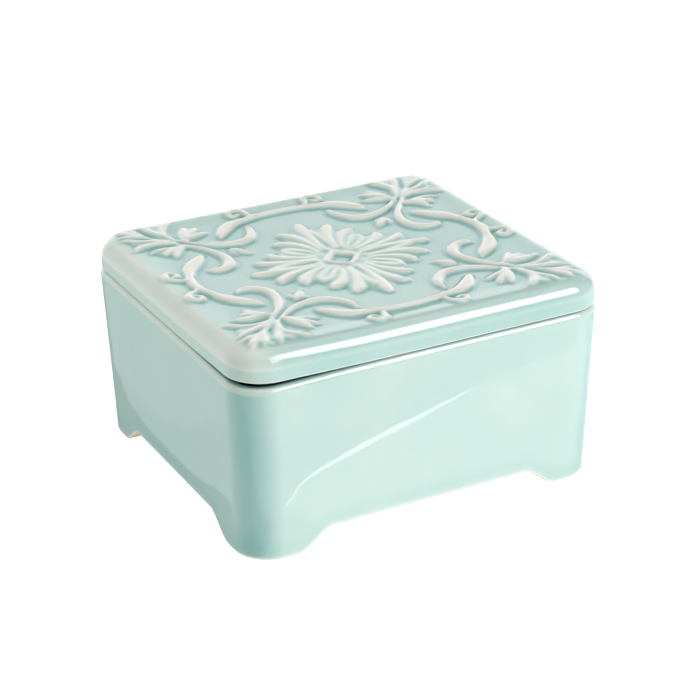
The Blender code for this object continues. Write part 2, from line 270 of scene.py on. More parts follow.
GARLANDS = [
    (1.4, "round", [(-12, 43.8, 1.25), (-7, 44.8, 1.2), (0, 45.2, 1.25), (7, 44.8, 1.2),
                    (12, 43.8, 1.25)], "y"),
    (1.4, "round", [(49, -8, 1.4), (50.2, -4, 1.8), (50.7, 0, 1.9), (50.2, 4, 1.8), (49, 8, 1.4)], "x"),
]

MEDALLION_HALF_DIAGONAL = 5.5
MEDALLION_HALF_WIDTH = 1.25
MEDALLION_SPREAD = 1.3
MEDALLION_HEIGHT = 1.25
MEDALLION_CROWN = 0.6
MEDALLION_POWER = 1.15
MEDALLION_HOLLOW = 0.1
HOLLOW_HALF_DIAGONAL = 4.2
HOLLOW_POWER = 4
CLEARING_HALF_DIAGONAL = 5.2
CLEARING_FADE = 1.5


# ---------------------------------------------------------------- strokes to height field
def smooth_path(points, step=0.25):
    """A Catmull-Rom curve through the points, with every column interpolated, sampled about every step mm."""
    points = np.array(points, float)
    ends = np.vstack([2 * points[0] - points[1], points, 2 * points[-1] - points[-2]])
    samples = []
    for before, here, after, beyond in zip(ends[:-3], ends[1:-2], ends[2:-1], ends[3:]):
        count = max(2, int(np.linalg.norm(after[:2] - here[:2]) / step))
        t = (np.arange(count) / count)[:, None]
        samples.append(0.5 * (2 * here + (after - before) * t
                              + (2 * before - 5 * here + 4 * after - beyond) * t ** 2
                              + (3 * here - before - 3 * after + beyond) * t ** 3))
    samples.append(points[-1:])
    return np.vstack(samples)


class HeightField:
    """A raster of heights in millimetres over the lid's outline."""

    def __init__(self, half_x, half_y, step):
        self.step = step
        self.x = np.arange(-half_x, half_x + step / 2, step)
        self.y = np.arange(-half_y, half_y + step / 2, step)
        self.powers = np.zeros((len(self.y), len(self.x)))

    def add_stroke(self, path, height, kind):
        """Adds one stroke, blended softly with what it crosses."""
        own = np.zeros_like(self.powers)
        widest = path[:, 2].max()
        fullness = np.interp(widest, (SLIM_STROKE, WIDE_STROKE), (SLIM_FULLNESS, WIDE_FULLNESS))
        reach = widest * fullness + self.step
        for x, y, half_width in path:
            half_width = max(half_width * fullness, BLUNT_TIP)
            left, right = np.searchsorted(self.x, (x - reach, x + reach))
            low, high = np.searchsorted(self.y, (y - reach, y + reach))
            square = ((self.x[left:right] - x) ** 2)[None, :] + ((self.y[low:high] - y) ** 2)[:, None]
            share = np.clip(1 - square / half_width ** 2, 0, 1)
            crown = share ** ROUND_CROWN if kind == "round" else 1 - (1 - share) ** FLAT_CROWN
            rise = height * min(1.0, half_width / FULL_HEIGHT_WIDTH) ** TAPER_POWER
            window = own[low:high, left:right]
            np.maximum(window, rise * crown, out=window)
        self.powers += own ** STROKE_BLEND

    def heights(self):
        return self.powers ** (1 / STROKE_BLEND)


def blurred(field, radius, step):
    """A Gaussian blur with its radius in millimetres."""
    reach = max(1, int(3 * radius / step))
    kernel = np.exp(-0.5 * (np.arange(-reach, reach + 1) * step / radius) ** 2)
    kernel /= kernel.sum()
    padded = np.pad(field, reach, mode="edge")
    rows = sum(weight * padded[:, i:i + field.shape[1]] for i, weight in enumerate(kernel))
    return sum(weight * rows[i:i + field.shape[0], :] for i, weight in enumerate(kernel))


def sampled(raster, field, x, y):
    """Bilinear lookup of a raster at points, which are kept just inside its last row and column."""
    last_cell = 1.001
    column = np.clip((x - raster.x[0]) / raster.step, 0, len(raster.x) - last_cell)
    row = np.clip((y - raster.y[0]) / raster.step, 0, len(raster.y) - last_cell)
    i, j = column.astype(int), row.astype(int)
    u, v = column - i, row - j
    return (field[j, i] * (1 - u) * (1 - v) + field[j, i + 1] * u * (1 - v)
            + field[j + 1, i] * (1 - u) * v + field[j + 1, i + 1] * u * v)


def draw_relief():
    """The moulded ornament as a height field, in millimetres above the field of the lid."""
    raster = HeightField(LID_HALF_X, LID_HALF_Y, RASTER_STEP)
    for height, kind, points in QUARTER_STROKES + QUARTER_PADS:
        path = smooth_path(points)
        for flip_x in (1, -1):
            for flip_y in (1, -1):
                raster.add_stroke(path * (flip_x, flip_y, 1), height, kind)
    for height, kind, points, across in GARLANDS:
        path = smooth_path(points)
        raster.add_stroke(path, height, kind)
        raster.add_stroke(path * ((-1, 1, 1) if across == "x" else (1, -1, 1)), height, kind)
    leaf = [(height, kind, smooth_path(points)) for height, kind, points in LEAF_MIDDLE]
    for height, kind, points in LEAF_LOBES:
        path = smooth_path(points)
        leaf += [(height, kind, path), (height, kind, path * (-1, 1, 1))]
    for height, kind, path in leaf:
        raster.add_stroke(path, height, kind)
        raster.add_stroke(path * (-1, -1, 1), height, kind)
        sideways = path[:, [1, 0, 2]] * (SIDE_LEAF_SCALE, SIDE_LEAF_SCALE, 1)
        raster.add_stroke(sideways * (1, -1, 1), height, kind)
        raster.add_stroke(sideways * (-1, 1, 1), height, kind)
    heights = raster.heights()
    across, along = np.meshgrid(raster.x, raster.y)
    diamond = (np.abs(across) ** MEDALLION_POWER + np.abs(along) ** MEDALLION_POWER) ** (1 / MEDALLION_POWER)
    from_crest = (diamond - MEDALLION_HALF_DIAGONAL) / (MEDALLION_HALF_WIDTH * MEDALLION_SPREAD)
    ring = np.clip(1 - from_crest ** 2, 0, 1) ** MEDALLION_CROWN
    clearing = np.clip((diamond - CLEARING_HALF_DIAGONAL) / CLEARING_FADE, 0, 1)
    heights = np.maximum(heights * clearing, MEDALLION_HEIGHT * ring)
    heights -= MEDALLION_HOLLOW * np.clip(1 - (diamond / HOLLOW_HALF_DIAGONAL) ** HOLLOW_POWER, 0, 1)
    return raster, heights


# ---------------------------------------------------------------- shells of rings
def outline(half_x, half_y, corner, cells_x, cells_y):
    """Points and outward directions round a rounded rectangle, anticlockwise from the middle of the +X side.

    The same index is always at the middle of a corner's arc, so that rings of different sizes line up.
    """
    corner = max(corner, 0.0)
    run_y, run_x, arc = half_y - corner, half_x - corner, corner * math.pi / 2
    turn = cells_y // 2
    count = (cells_x + cells_y) // 2
    k = np.arange(count + 1)
    s = np.where(k <= turn, k / turn * (run_y + arc / 2),
                 run_y + arc / 2 + (k - turn) / (count - turn) * (run_x + arc / 2))
    angle = np.clip((s - run_y) / max(corner, 1e-9), 0, math.pi / 2)
    x = np.where(s < run_y, half_x, np.where(s > run_y + arc, half_x - corner - (s - run_y - arc),
                                             run_x + corner * np.cos(angle)))
    y = np.where(s < run_y, s, np.where(s > run_y + arc, half_y, run_y + corner * np.sin(angle)))
    points = np.column_stack([x, y])
    facing = np.column_stack([np.cos(angle), np.sin(angle)])

    def whole(q):
        back = q[:0:-1] * (-1, 1)
        return np.vstack([q[:-1], back, -q[:-1], -back])
    return whole(points), whole(facing)


class Shell:
    """Collects rings of vertices, with the glaze's thickness and the bare clay as point values."""

    def __init__(self):
        self.points, self.glaze, self.bare, self.faces = [], [], [], []
        self.count = 0

    def add(self, points, glaze, bare):
        rows = len(points)
        self.points.append(points)
        self.glaze.append(np.broadcast_to(glaze, rows).astype(float))
        self.bare.append(np.broadcast_to(bare, rows).astype(float))
        self.count += rows
        return np.arange(self.count - rows, self.count)

    def bridge(self, first, second):
        """Joins two rings. Where the second has half the points, triangles take up the difference."""
        if len(first) == len(second):
            self.faces += zip(first, np.roll(first, -1), np.roll(second, -1), second)
            return
        even, odd, later = first[::2], first[1::2], np.roll(first[::2], -1)
        after = np.roll(second, -1)
        self.faces += zip(even, odd, second)
        self.faces += zip(odd, after, second)
        self.faces += zip(odd, later, after)

    def cap(self, half_x, half_y, cells_x, cells_y, place):
        """A grid over a plain rectangle. Returns its border as a ring."""
        x, y = np.meshgrid(np.linspace(-half_x, half_x, cells_x + 1),
                           np.linspace(-half_y, half_y, cells_y + 1))
        points, glaze, bare = place(x.ravel(), y.ravel())
        grid = self.add(points, glaze, bare).reshape(cells_y + 1, cells_x + 1)
        self.faces += zip(grid[:-1, :-1].ravel(), grid[:-1, 1:].ravel(),
                          grid[1:, 1:].ravel(), grid[1:, :-1].ravel())
        border = np.concatenate([grid[:-1, -1], grid[-1, :0:-1], grid[:0:-1, 0], grid[0, :-1]])
        return np.roll(border, -(cells_y // 2))

    def build(self, name, shift):
        """Makes the mesh object. shift moves the points, in millimetres, as a function of all of them."""
        points = shift(np.vstack(self.points)) * MM
        mesh = bpy.data.meshes.new(name)
        mesh.from_pydata(points.tolist(), [], [[int(i) for i in face] for face in self.faces])
        for title, values in (("glaze", self.glaze), ("bare", self.bare)):
            layer = mesh.attributes.new(title, "FLOAT", "POINT")
            layer.data.foreach_set("value", np.concatenate(values).astype(np.float32))
        bm = bmesh.new()
        bm.from_mesh(mesh)
        bmesh.ops.recalc_face_normals(bm, faces=bm.faces)
        bm.to_mesh(mesh)
        bm.free()
        mesh.shade_smooth()
        made = bpy.data.objects.new(name, mesh)
        bpy.context.scene.collection.objects.link(made)
        return made


def arc_steps(count):
    """Angles from 0 to a right angle, without the first."""
    return [math.pi / 2 * (i + 1) / count for i in range(count)]


# ---------------------------------------------------------------- base
BASE_CELLS_X = 144
BASE_CELLS_Y = 136
WALL_RING_POWER = 1.25
UNDERSIDE_INSETS = ((11.4, 2), (10.4, 1))
SOLE_SETBACK = 0.4
SOLE_INSETS = (6.4, 4.6, 2.9)
INNER_BARENESS = 0.2
RIM_SEAT_STEPS = ((0.4, 2.8), (1.0, 3.4))
WELL_FLOOR_INSET = 11.8


def ogee(distance, reach):
    """Height of the arch's edge at a distance from the middle of its side."""
    t = np.clip((distance - reach) / OGEE_RUN, 0, 1)
    return ARCH_HEIGHT * (1 - t * t * (3 - 2 * t))


def foot_line(points, facing):
    """Height of the lower edge along a ring: arches on the straight sides, zero at the feet."""
    straight = 0.999
    front = ogee(np.abs(points[:, 0]), FRONT_ARCH_REACH) * (np.abs(facing[:, 1]) > straight)
    side = ogee(np.abs(points[:, 1]), SIDE_ARCH_REACH) * (np.abs(facing[:, 0]) > straight)
    return np.maximum(front, side)


def wall_glaze(rise):
    """The glaze is thin just over the foot line and gathers a little above that."""
    return (PLAIN_GLAZE - FOOT_THINNING * np.exp(-rise / FOOT_THIN_HEIGHT)
            + FOOT_POOL * np.exp(-((rise - FOOT_POOL_HEIGHT) / FOOT_POOL_SPREAD) ** 2))


def base_ring(shell, z, inset, glaze=PLAIN_GLAZE, bare=0.0, lean=True, above_foot=None, cells=1):
    """A ring of the base. z sets how far the wall leans in, and the height too unless above_foot is given.

    above_foot is the height over the foot line, which matters less and less towards the rim. A glaze that is
    a function gets the height over the foot line, and is deepened at the rounded corners and on the end walls
    as painted shade. cells=2 gives a ring of half as many points.
    """
    leaning = WALL_LEAN * (BASE_HEIGHT - z) / BASE_HEIGHT if lean else 0.0
    points, facing = outline(BASE_HALF_X - leaning - inset, BASE_HALF_Y - leaning - inset,
                             CORNER_RADIUS - inset, BASE_CELLS_X // cells, BASE_CELLS_Y // cells)
    foot = foot_line(points, facing)
    height = np.full(len(points), float(z))
    if above_foot is not None:
        top = BASE_HEIGHT - RIM_RADIUS
        height = foot + above_foot * (top - foot) / top if above_foot > SOLE_RADIUS else foot + above_foot
        if callable(glaze):
            # painted shade: the glaze is deepened round the corners and on the end walls
            turned = np.abs(facing[:, 0] * facing[:, 1]) * 2
            painted_shade = CORNER_PAINTED_SHADE * turned ** CORNER_PAINTED_SHADE_POWER
            glaze = glaze(height - foot) + painted_shade + END_WALL_PAINTED_SHADE * facing[:, 0] ** 2
    return shell.add(np.column_stack([points, height]), glaze, bare)


def base_rings(shell):
    """Rings of the base, from the underside over the sole, up the wall, over the rim and down the well."""
    rings = []
    half_x, half_y = BASE_HALF_X - CORNER_RADIUS, BASE_HALF_Y - CORNER_RADIUS

    def under(x, y):
        return np.column_stack([x, y, np.full(len(x), UNDERSIDE_HEIGHT)]), PLAIN_GLAZE, 0.0

    lean = WALL_LEAN * (BASE_HEIGHT - UNDERSIDE_HEIGHT) / BASE_HEIGHT
    rings.append(shell.cap(half_x - lean, half_y - lean, BASE_CELLS_X // 4, BASE_CELLS_Y // 4, under))
    for inset, cells in UNDERSIDE_INSETS:
        rings.append(base_ring(shell, UNDERSIDE_HEIGHT, inset, cells=cells))
    inner = FOOT_THICKNESS + FOOT_DRAFT
    for angle in arc_steps(4):
        rings.append(base_ring(shell, UNDERSIDE_HEIGHT - UNDERSIDE_FILLET * (1 - math.cos(angle)),
                               inner + UNDERSIDE_FILLET * (1 - math.sin(angle)), glaze=FILLET_GLAZE))
    for share in (0.25, 0.5, 0.75):
        points, facing = outline(BASE_HALF_X - lean - inner, BASE_HALF_Y - lean - inner,
                                 CORNER_RADIUS - inner, BASE_CELLS_X, BASE_CELLS_Y)
        foot = foot_line(points, facing) + SOLE_INNER_RADIUS
        height = UNDERSIDE_HEIGHT - UNDERSIDE_FILLET + share * (foot - UNDERSIDE_HEIGHT + UNDERSIDE_FILLET)
        rings.append(shell.add(np.column_stack([points, height]), PLAIN_GLAZE, INNER_BARENESS * share))
    for angle in arc_steps(4):
        inset = FOOT_THICKNESS - SOLE_INNER_RADIUS * (1 - math.cos(angle)) + SOLE_SETBACK
        rings.append(base_ring(shell, 0, inset, bare=1.0,
                               above_foot=SOLE_INNER_RADIUS * (1 - math.sin(angle))))
    for inset in SOLE_INSETS:
        rings.append(base_ring(shell, 0, inset, bare=1.0, above_foot=0.0))
    sole_rings = 6
    for i in range(sole_rings + 1):
        angle = math.pi / 2 * i / sole_rings
        rings.append(base_ring(shell, 0, SOLE_RADIUS * (1 - math.sin(angle)), glaze=SOLE_GLAZE,
                               bare=max(0.0, 1.0 - 0.5 * i), above_foot=SOLE_RADIUS * (1 - math.cos(angle))))
    wall_rings = 44
    for i in range(1, wall_rings + 1):
        up = SOLE_RADIUS + (BASE_HEIGHT - RIM_RADIUS - SOLE_RADIUS) * (i / wall_rings) ** WALL_RING_POWER
        rings.append(base_ring(shell, up, 0.0, above_foot=up, glaze=wall_glaze))
    # the top of the outer rounding darkens under the lid's edge as painted shade
    for angle in arc_steps(8):
        thin = PLAIN_GLAZE - RIM_THINNING * math.sin(2 * angle) ** 2
        rings.append(base_ring(shell, BASE_HEIGHT - RIM_RADIUS * (1 - math.sin(angle)),
                               RIM_RADIUS * (1 - math.cos(angle)),
                               glaze=thin + max(0.0, math.sin(angle) - RIM_SHADE_START) * RIM_PAINTED_SHADE_GAIN))
    rim_inner = BASE_HEIGHT - RIM_DIP
    # the seat under the lid is darkened as painted shade, fading down the inner rounding
    for drop, inset in RIM_SEAT_STEPS:
        rings.append(base_ring(shell, BASE_HEIGHT - drop, inset, glaze=RIM_SEAT_PAINTED_SHADE))
    for angle in arc_steps(5):
        rings.append(base_ring(shell, rim_inner - INNER_RIM_RADIUS * (1 - math.cos(angle)),
                               RIM_WIDTH - INNER_RIM_RADIUS * (1 - math.sin(angle)),
                               glaze=RIM_SEAT_PAINTED_SHADE - 0.5 * math.sin(angle), lean=False))
    depth = rim_inner - INNER_RIM_RADIUS - WELL_FLOOR - WELL_FILLET
    well_rings = 22
    for i in range(1, well_rings + 1):
        share = i / well_rings
        rings.append(base_ring(shell, rim_inner - INNER_RIM_RADIUS - depth * share,
                               RIM_WIDTH + WELL_DRAFT * share, lean=False))
    for angle in arc_steps(7):
        rings.append(base_ring(shell, WELL_FLOOR + WELL_FILLET * (1 - math.sin(angle)),
                               RIM_WIDTH + WELL_DRAFT + WELL_FILLET * (1 - math.cos(angle)),
                               glaze=WELL_FILLET_GLAZE, lean=False))
    rings.append(base_ring(shell, WELL_FLOOR, WELL_FLOOR_INSET, lean=False, cells=2, glaze=WELL_EDGE_GLAZE))

    def floor(x, y):
        return np.column_stack([x, y, np.full(len(x), WELL_FLOOR)]), PLAIN_GLAZE, 0.0

    rings.append(shell.cap(half_x, half_y, BASE_CELLS_X // 4, BASE_CELLS_Y // 4, floor))
    for first, second in zip(rings, rings[1:]):
        shell.bridge(*((first, second) if len(first) >= len(second) else (second, first)))


def base_drift(points):
    """Slight unevenness of cast and fired clay: walls that draw in, and a rim that dips at one corner."""
    moved = points.copy()
    x, y, z = points.T
    upright = np.sin(np.clip(z / BASE_HEIGHT, 0, 1) * math.pi)
    side = np.clip((np.abs(x) / BASE_HALF_X) ** DRAW_POWER, 0, 1) * np.sign(x)
    front = np.clip((np.abs(y) / BASE_HALF_Y) ** DRAW_POWER, 0, 1) * np.sign(y)
    moved[:, 0] += BASE_SHIFT_X - side * SIDE_DRAW * upright * np.cos(y / BASE_HALF_Y * DRAW_WAVE)
    moved[:, 1] -= front * FRONT_DRAW * upright * np.cos(x / BASE_HALF_X * DRAW_WAVE)
    from_corner = (x + BASE_HALF_X - WARP_INSET) ** 2 + (y + BASE_HALF_Y - WARP_INSET) ** 2
    corner = np.exp(-from_corner / BASE_WARP_REACH ** 2)
    high = np.clip((z - BASE_WARP_START) / (BASE_HEIGHT - BASE_WARP_START), 0, 1)
    moved[:, 2] -= CORNER_WARP * corner * high
    return moved


# ---------------------------------------------------------------- lid
LID_CELLS_X = 208
LID_CELLS_Y = 192


def leftness(x):
    """Zero over most of the lid, and 1 at its left end."""
    return np.clip((-x - LID_HALF_X + LEFT_FADE_START) / LEFT_FADE_RUN, 0, 1)


def edge_glaze_and_painted_light(x):
    """The glaze is a little thin on the lid's rounded edge, and thinner and paler on the left as painted
    light.
    """
    return EDGE_GLAZE - LEFT_EDGE_PAINTED_LIGHT * leftness(x)


def lid_top(raster, relief, pooled, x, y):
    """Heights and glaze of the lid's upper side at points."""
    inset = CORNER_RADIUS - np.hypot(np.maximum(np.abs(x) - (LID_HALF_X - CORNER_RADIUS), 0),
                                     np.maximum(np.abs(y) - (LID_HALF_Y - CORNER_RADIUS), 0))
    straight = np.minimum(LID_HALF_X - np.abs(x), LID_HALF_Y - np.abs(y))
    inset = np.where(inset >= CORNER_RADIUS - 1e-6, np.maximum(straight, CORNER_RADIUS), inset)
    fall = np.clip(LID_EDGE_RADIUS - inset, 0, LID_EDGE_RADIUS)
    edge = LID_EDGE_RADIUS - np.sqrt(np.maximum(LID_EDGE_RADIUS ** 2 - fall ** 2, 0))
    t = np.clip((inset - BORDER_INSET) / BORDER_FALL, 0, 1)
    dip = FIELD_DEPTH * t * t * (3 - 2 * t)
    bowl = np.clip(1 - (x / LID_HALF_X) ** 2, 0, 1) * np.clip(1 - (y / LID_HALF_Y) ** 2, 0, 1)
    z = LID_TOP - edge - dip - FIELD_SAG * bowl + sampled(raster, relief, x, y)
    # the edge's glaze, with its painted light at the left end, fades into the field; a thin pale band runs
    # along the border
    thin = (edge_glaze_and_painted_light(x) - FIELD_GLAZE) * np.clip((BORDER_FADE_END - inset) / BORDER_FADE_RUN, 0, 1)
    thin -= BORDER_THINNING * np.exp(-((inset - BORDER_THIN_INSET) / BORDER_THIN_SPREAD) ** 2)
    glaze = np.clip(sampled(raster, pooled, x, y) + thin, 0, 1)
    return np.column_stack([x, y, z]), glaze, 0.0


def lid_ring(shell, z, inset, glaze=PLAIN_GLAZE, cells=1):
    """A level ring of the lid. A glaze of None is that of the edge, slightly thicker on its upright part."""
    points, _ = outline(LID_HALF_X - inset, LID_HALF_Y - inset, CORNER_RADIUS - inset,
                        LID_CELLS_X // cells, LID_CELLS_Y // cells)
    # the edge's glaze carries its painted light at the left end, a little less of it on the upright part
    if glaze is None:
        glaze = edge_glaze_and_painted_light(points[:, 0]) + SIDE_GAIN + LEFT_SIDE_GAIN * leftness(points[:, 0])
    return shell.add(np.column_stack([points, np.full(len(points), float(z))]), glaze, 0.0)


def lid_rings(shell):
    """Rings of the lid, from its relief out over the edge, under to the flange and into the hollow."""
    raster, heights = draw_relief()
    relief = blurred(heights, RELIEF_SOFTNESS, RASTER_STEP)
    near = blurred(heights, NEAR_BLUR, RASTER_STEP)
    wide = blurred(heights, WIDE_BLUR, RASTER_STEP)
    crowded = (np.clip((near - relief) * NEAR_POOLING, -0.3, 0.5)
               + np.clip((wide - relief) * WIDE_POOLING, -0.1, 0.3))
    ridge = np.clip((relief - RIDGE_START) / RIDGE_RUN, 0, 1)
    pooled = np.clip(FIELD_GLAZE + crowded - RIDGE_THINNING * ridge, 0, 1)

    def top(x, y):
        return lid_top(raster, relief, pooled, x, y)

    half_x, half_y = LID_HALF_X - CORNER_RADIUS, LID_HALF_Y - CORNER_RADIUS
    rings = [shell.cap(half_x, half_y, LID_CELLS_X, LID_CELLS_Y, top)]

    def top_ring(inset):
        points, _ = outline(LID_HALF_X - inset, LID_HALF_Y - inset, CORNER_RADIUS - inset,
                            LID_CELLS_X, LID_CELLS_Y)
        return shell.add(*top(points[:, 0], points[:, 1]))

    flat_rings = 12
    for i in range(1, flat_rings + 1):
        rings.append(top_ring(CORNER_RADIUS - (CORNER_RADIUS - LID_EDGE_RADIUS) * i / flat_rings))
    for angle in arc_steps(14)[:-1]:
        rings.append(top_ring(LID_EDGE_RADIUS * (1 - math.sin(angle))))
    side_top = LID_TOP - LID_EDGE_RADIUS
    side_rings = 4
    for i in range(side_rings + 1):
        z = side_top + (SEAT_HEIGHT + LID_ARRIS - side_top) * i / side_rings
        rings.append(lid_ring(shell, z, 0.0, glaze=None))
    # the arris is thin and pale; its under side is darkened as painted shade
    for angle in arc_steps(5):
        rings.append(lid_ring(shell, SEAT_HEIGHT + LID_ARRIS * (1 - math.sin(angle)),
                              LID_ARRIS * (1 - math.cos(angle)), glaze=ARRIS_GLAZE + 0.5 * (angle > 1)))
    # painted shade: the groove under the lid, where it sits on the rim, is darkened
    groove = SEAT_HEIGHT + SEAT_GROOVE
    for z, inset in ((SEAT_HEIGHT + 0.1, 1.3), (groove - 0.15, 1.9),
                     (groove, 2.6), (groove, 3.9), (groove, 5.1)):
        rings.append(lid_ring(shell, z, inset, glaze=GROOVE_PAINTED_SHADE, cells=2))
    for angle in arc_steps(4):
        rings.append(lid_ring(shell, groove - GROOVE_FILLET * (1 - math.cos(angle)),
                              FLANGE_INSET - GROOVE_FILLET * (1 - math.sin(angle)),
                              glaze=GROOVE_FILLET_PAINTED_SHADE, cells=2))
    bottom = SEAT_HEIGHT - FLANGE_DROP
    straight = FLANGE_DROP - GROOVE_FILLET - FLANGE_ROUND
    for share in (0.3, 0.6, 1.0):
        rings.append(lid_ring(shell, SEAT_HEIGHT - GROOVE_FILLET - share * straight,
                              FLANGE_INSET + FLANGE_DRAFT * share, cells=2))
    outer = FLANGE_INSET + FLANGE_DRAFT
    inner = FLANGE_INSET + FLANGE_THICKNESS - FLANGE_DRAFT
    for angle in arc_steps(5):
        rings.append(lid_ring(shell, bottom + FLANGE_ROUND * (1 - math.sin(angle)),
                              outer + FLANGE_ROUND * (1 - math.cos(angle)), glaze=FLANGE_EDGE_GLAZE, cells=2))
    for angle in arc_steps(5):
        rings.append(lid_ring(shell, bottom + FLANGE_ROUND * (1 - math.cos(angle)),
                              inner - FLANGE_ROUND * (1 - math.sin(angle)), glaze=FLANGE_EDGE_GLAZE, cells=2))
    ceiling = SEAT_HEIGHT + LID_HOLLOW
    depth = ceiling - HOLLOW_FILLET - bottom - FLANGE_ROUND
    for share in (0.25, 0.5, 0.75, 1.0):
        rings.append(lid_ring(shell, bottom + FLANGE_ROUND + share * depth,
                              inner + FLANGE_DRAFT * share, cells=2))
    for angle in arc_steps(4):
        rings.append(lid_ring(shell, ceiling - HOLLOW_FILLET * (1 - math.sin(angle)),
                              inner + FLANGE_DRAFT + HOLLOW_FILLET * (1 - math.cos(angle)),
                              glaze=FILLET_GLAZE, cells=2))

    def under(x, y):
        return np.column_stack([x, y, np.full(len(x), ceiling)]), PLAIN_GLAZE, 0.0

    rings.append(shell.cap(half_x, half_y, LID_CELLS_X // 4, LID_CELLS_Y // 4, under))
    for first, second in zip(rings, rings[1:]):
        shell.bridge(first, second)


def lid_drift(points):
    """The lid sits a little to one side, and one corner has lifted in the firing."""
    moved = points.copy()
    x, y, _ = points.T
    from_corner = (x + LID_HALF_X - WARP_INSET) ** 2 + (y + LID_HALF_Y - WARP_INSET) ** 2
    moved[:, 0] += LID_SHIFT_X
    moved[:, 2] += CORNER_WARP * np.exp(-from_corner / LID_WARP_REACH ** 2)
    return moved


# ---------------------------------------------------------------- materials
THIN_COLOUR = (0.735, 0.705, 0.66, 1)
PALE_COLOUR = (0.61, 0.665, 0.61, 1)
PLAIN_COLOUR = (0.43, 0.575, 0.53, 1)
DEEP_COLOUR = (0.27, 0.47, 0.445, 1)
POOLED_COLOUR = (0.12, 0.32, 0.31, 1)
BISQUE_COLOUR = (0.40, 0.30, 0.20, 1)
PALE_BISQUE_COLOUR = (0.56, 0.46, 0.34, 1)
SPECK_COLOUR = (0.16, 0.14, 0.10, 1)
WHITE = (1, 1, 1)
MIDDLE_GREY = (0.5, 0.5, 0.5)

CLOUD_SCALE = 38.0
CLOUD_STRENGTH = 0.07
SPECK_SCALE = 90.0
SPECK_RADIUS = 0.030
SPECK_CORE = 0.018
SPECK_RARITY = 0.93
SPECK_STRENGTH = 0.55
RAGGED_SCALE = 420.0
RAGGED_START = 0.92
RAGGED_END = 1.22
GLOSS_SCALE = 60.0
SMOOTHEST = 0.02
ROUGHEST = 0.06
BISQUE_ROUGHNESS = 0.75
RIPPLE_SCALE = 130.0
RIPPLE_STRENGTH = 0.05
RIPPLE_DISTANCE = 0.0006


def node(tree, kind, sockets=None, **settings):
    """A shader node. sockets gives the values of its inputs, by name or number."""
    made = tree.nodes.new(kind)
    for name, value in settings.items():
        setattr(made, name, value)
    for socket, value in (sockets or {}).items():
        made.inputs[socket].default_value = value
    return made


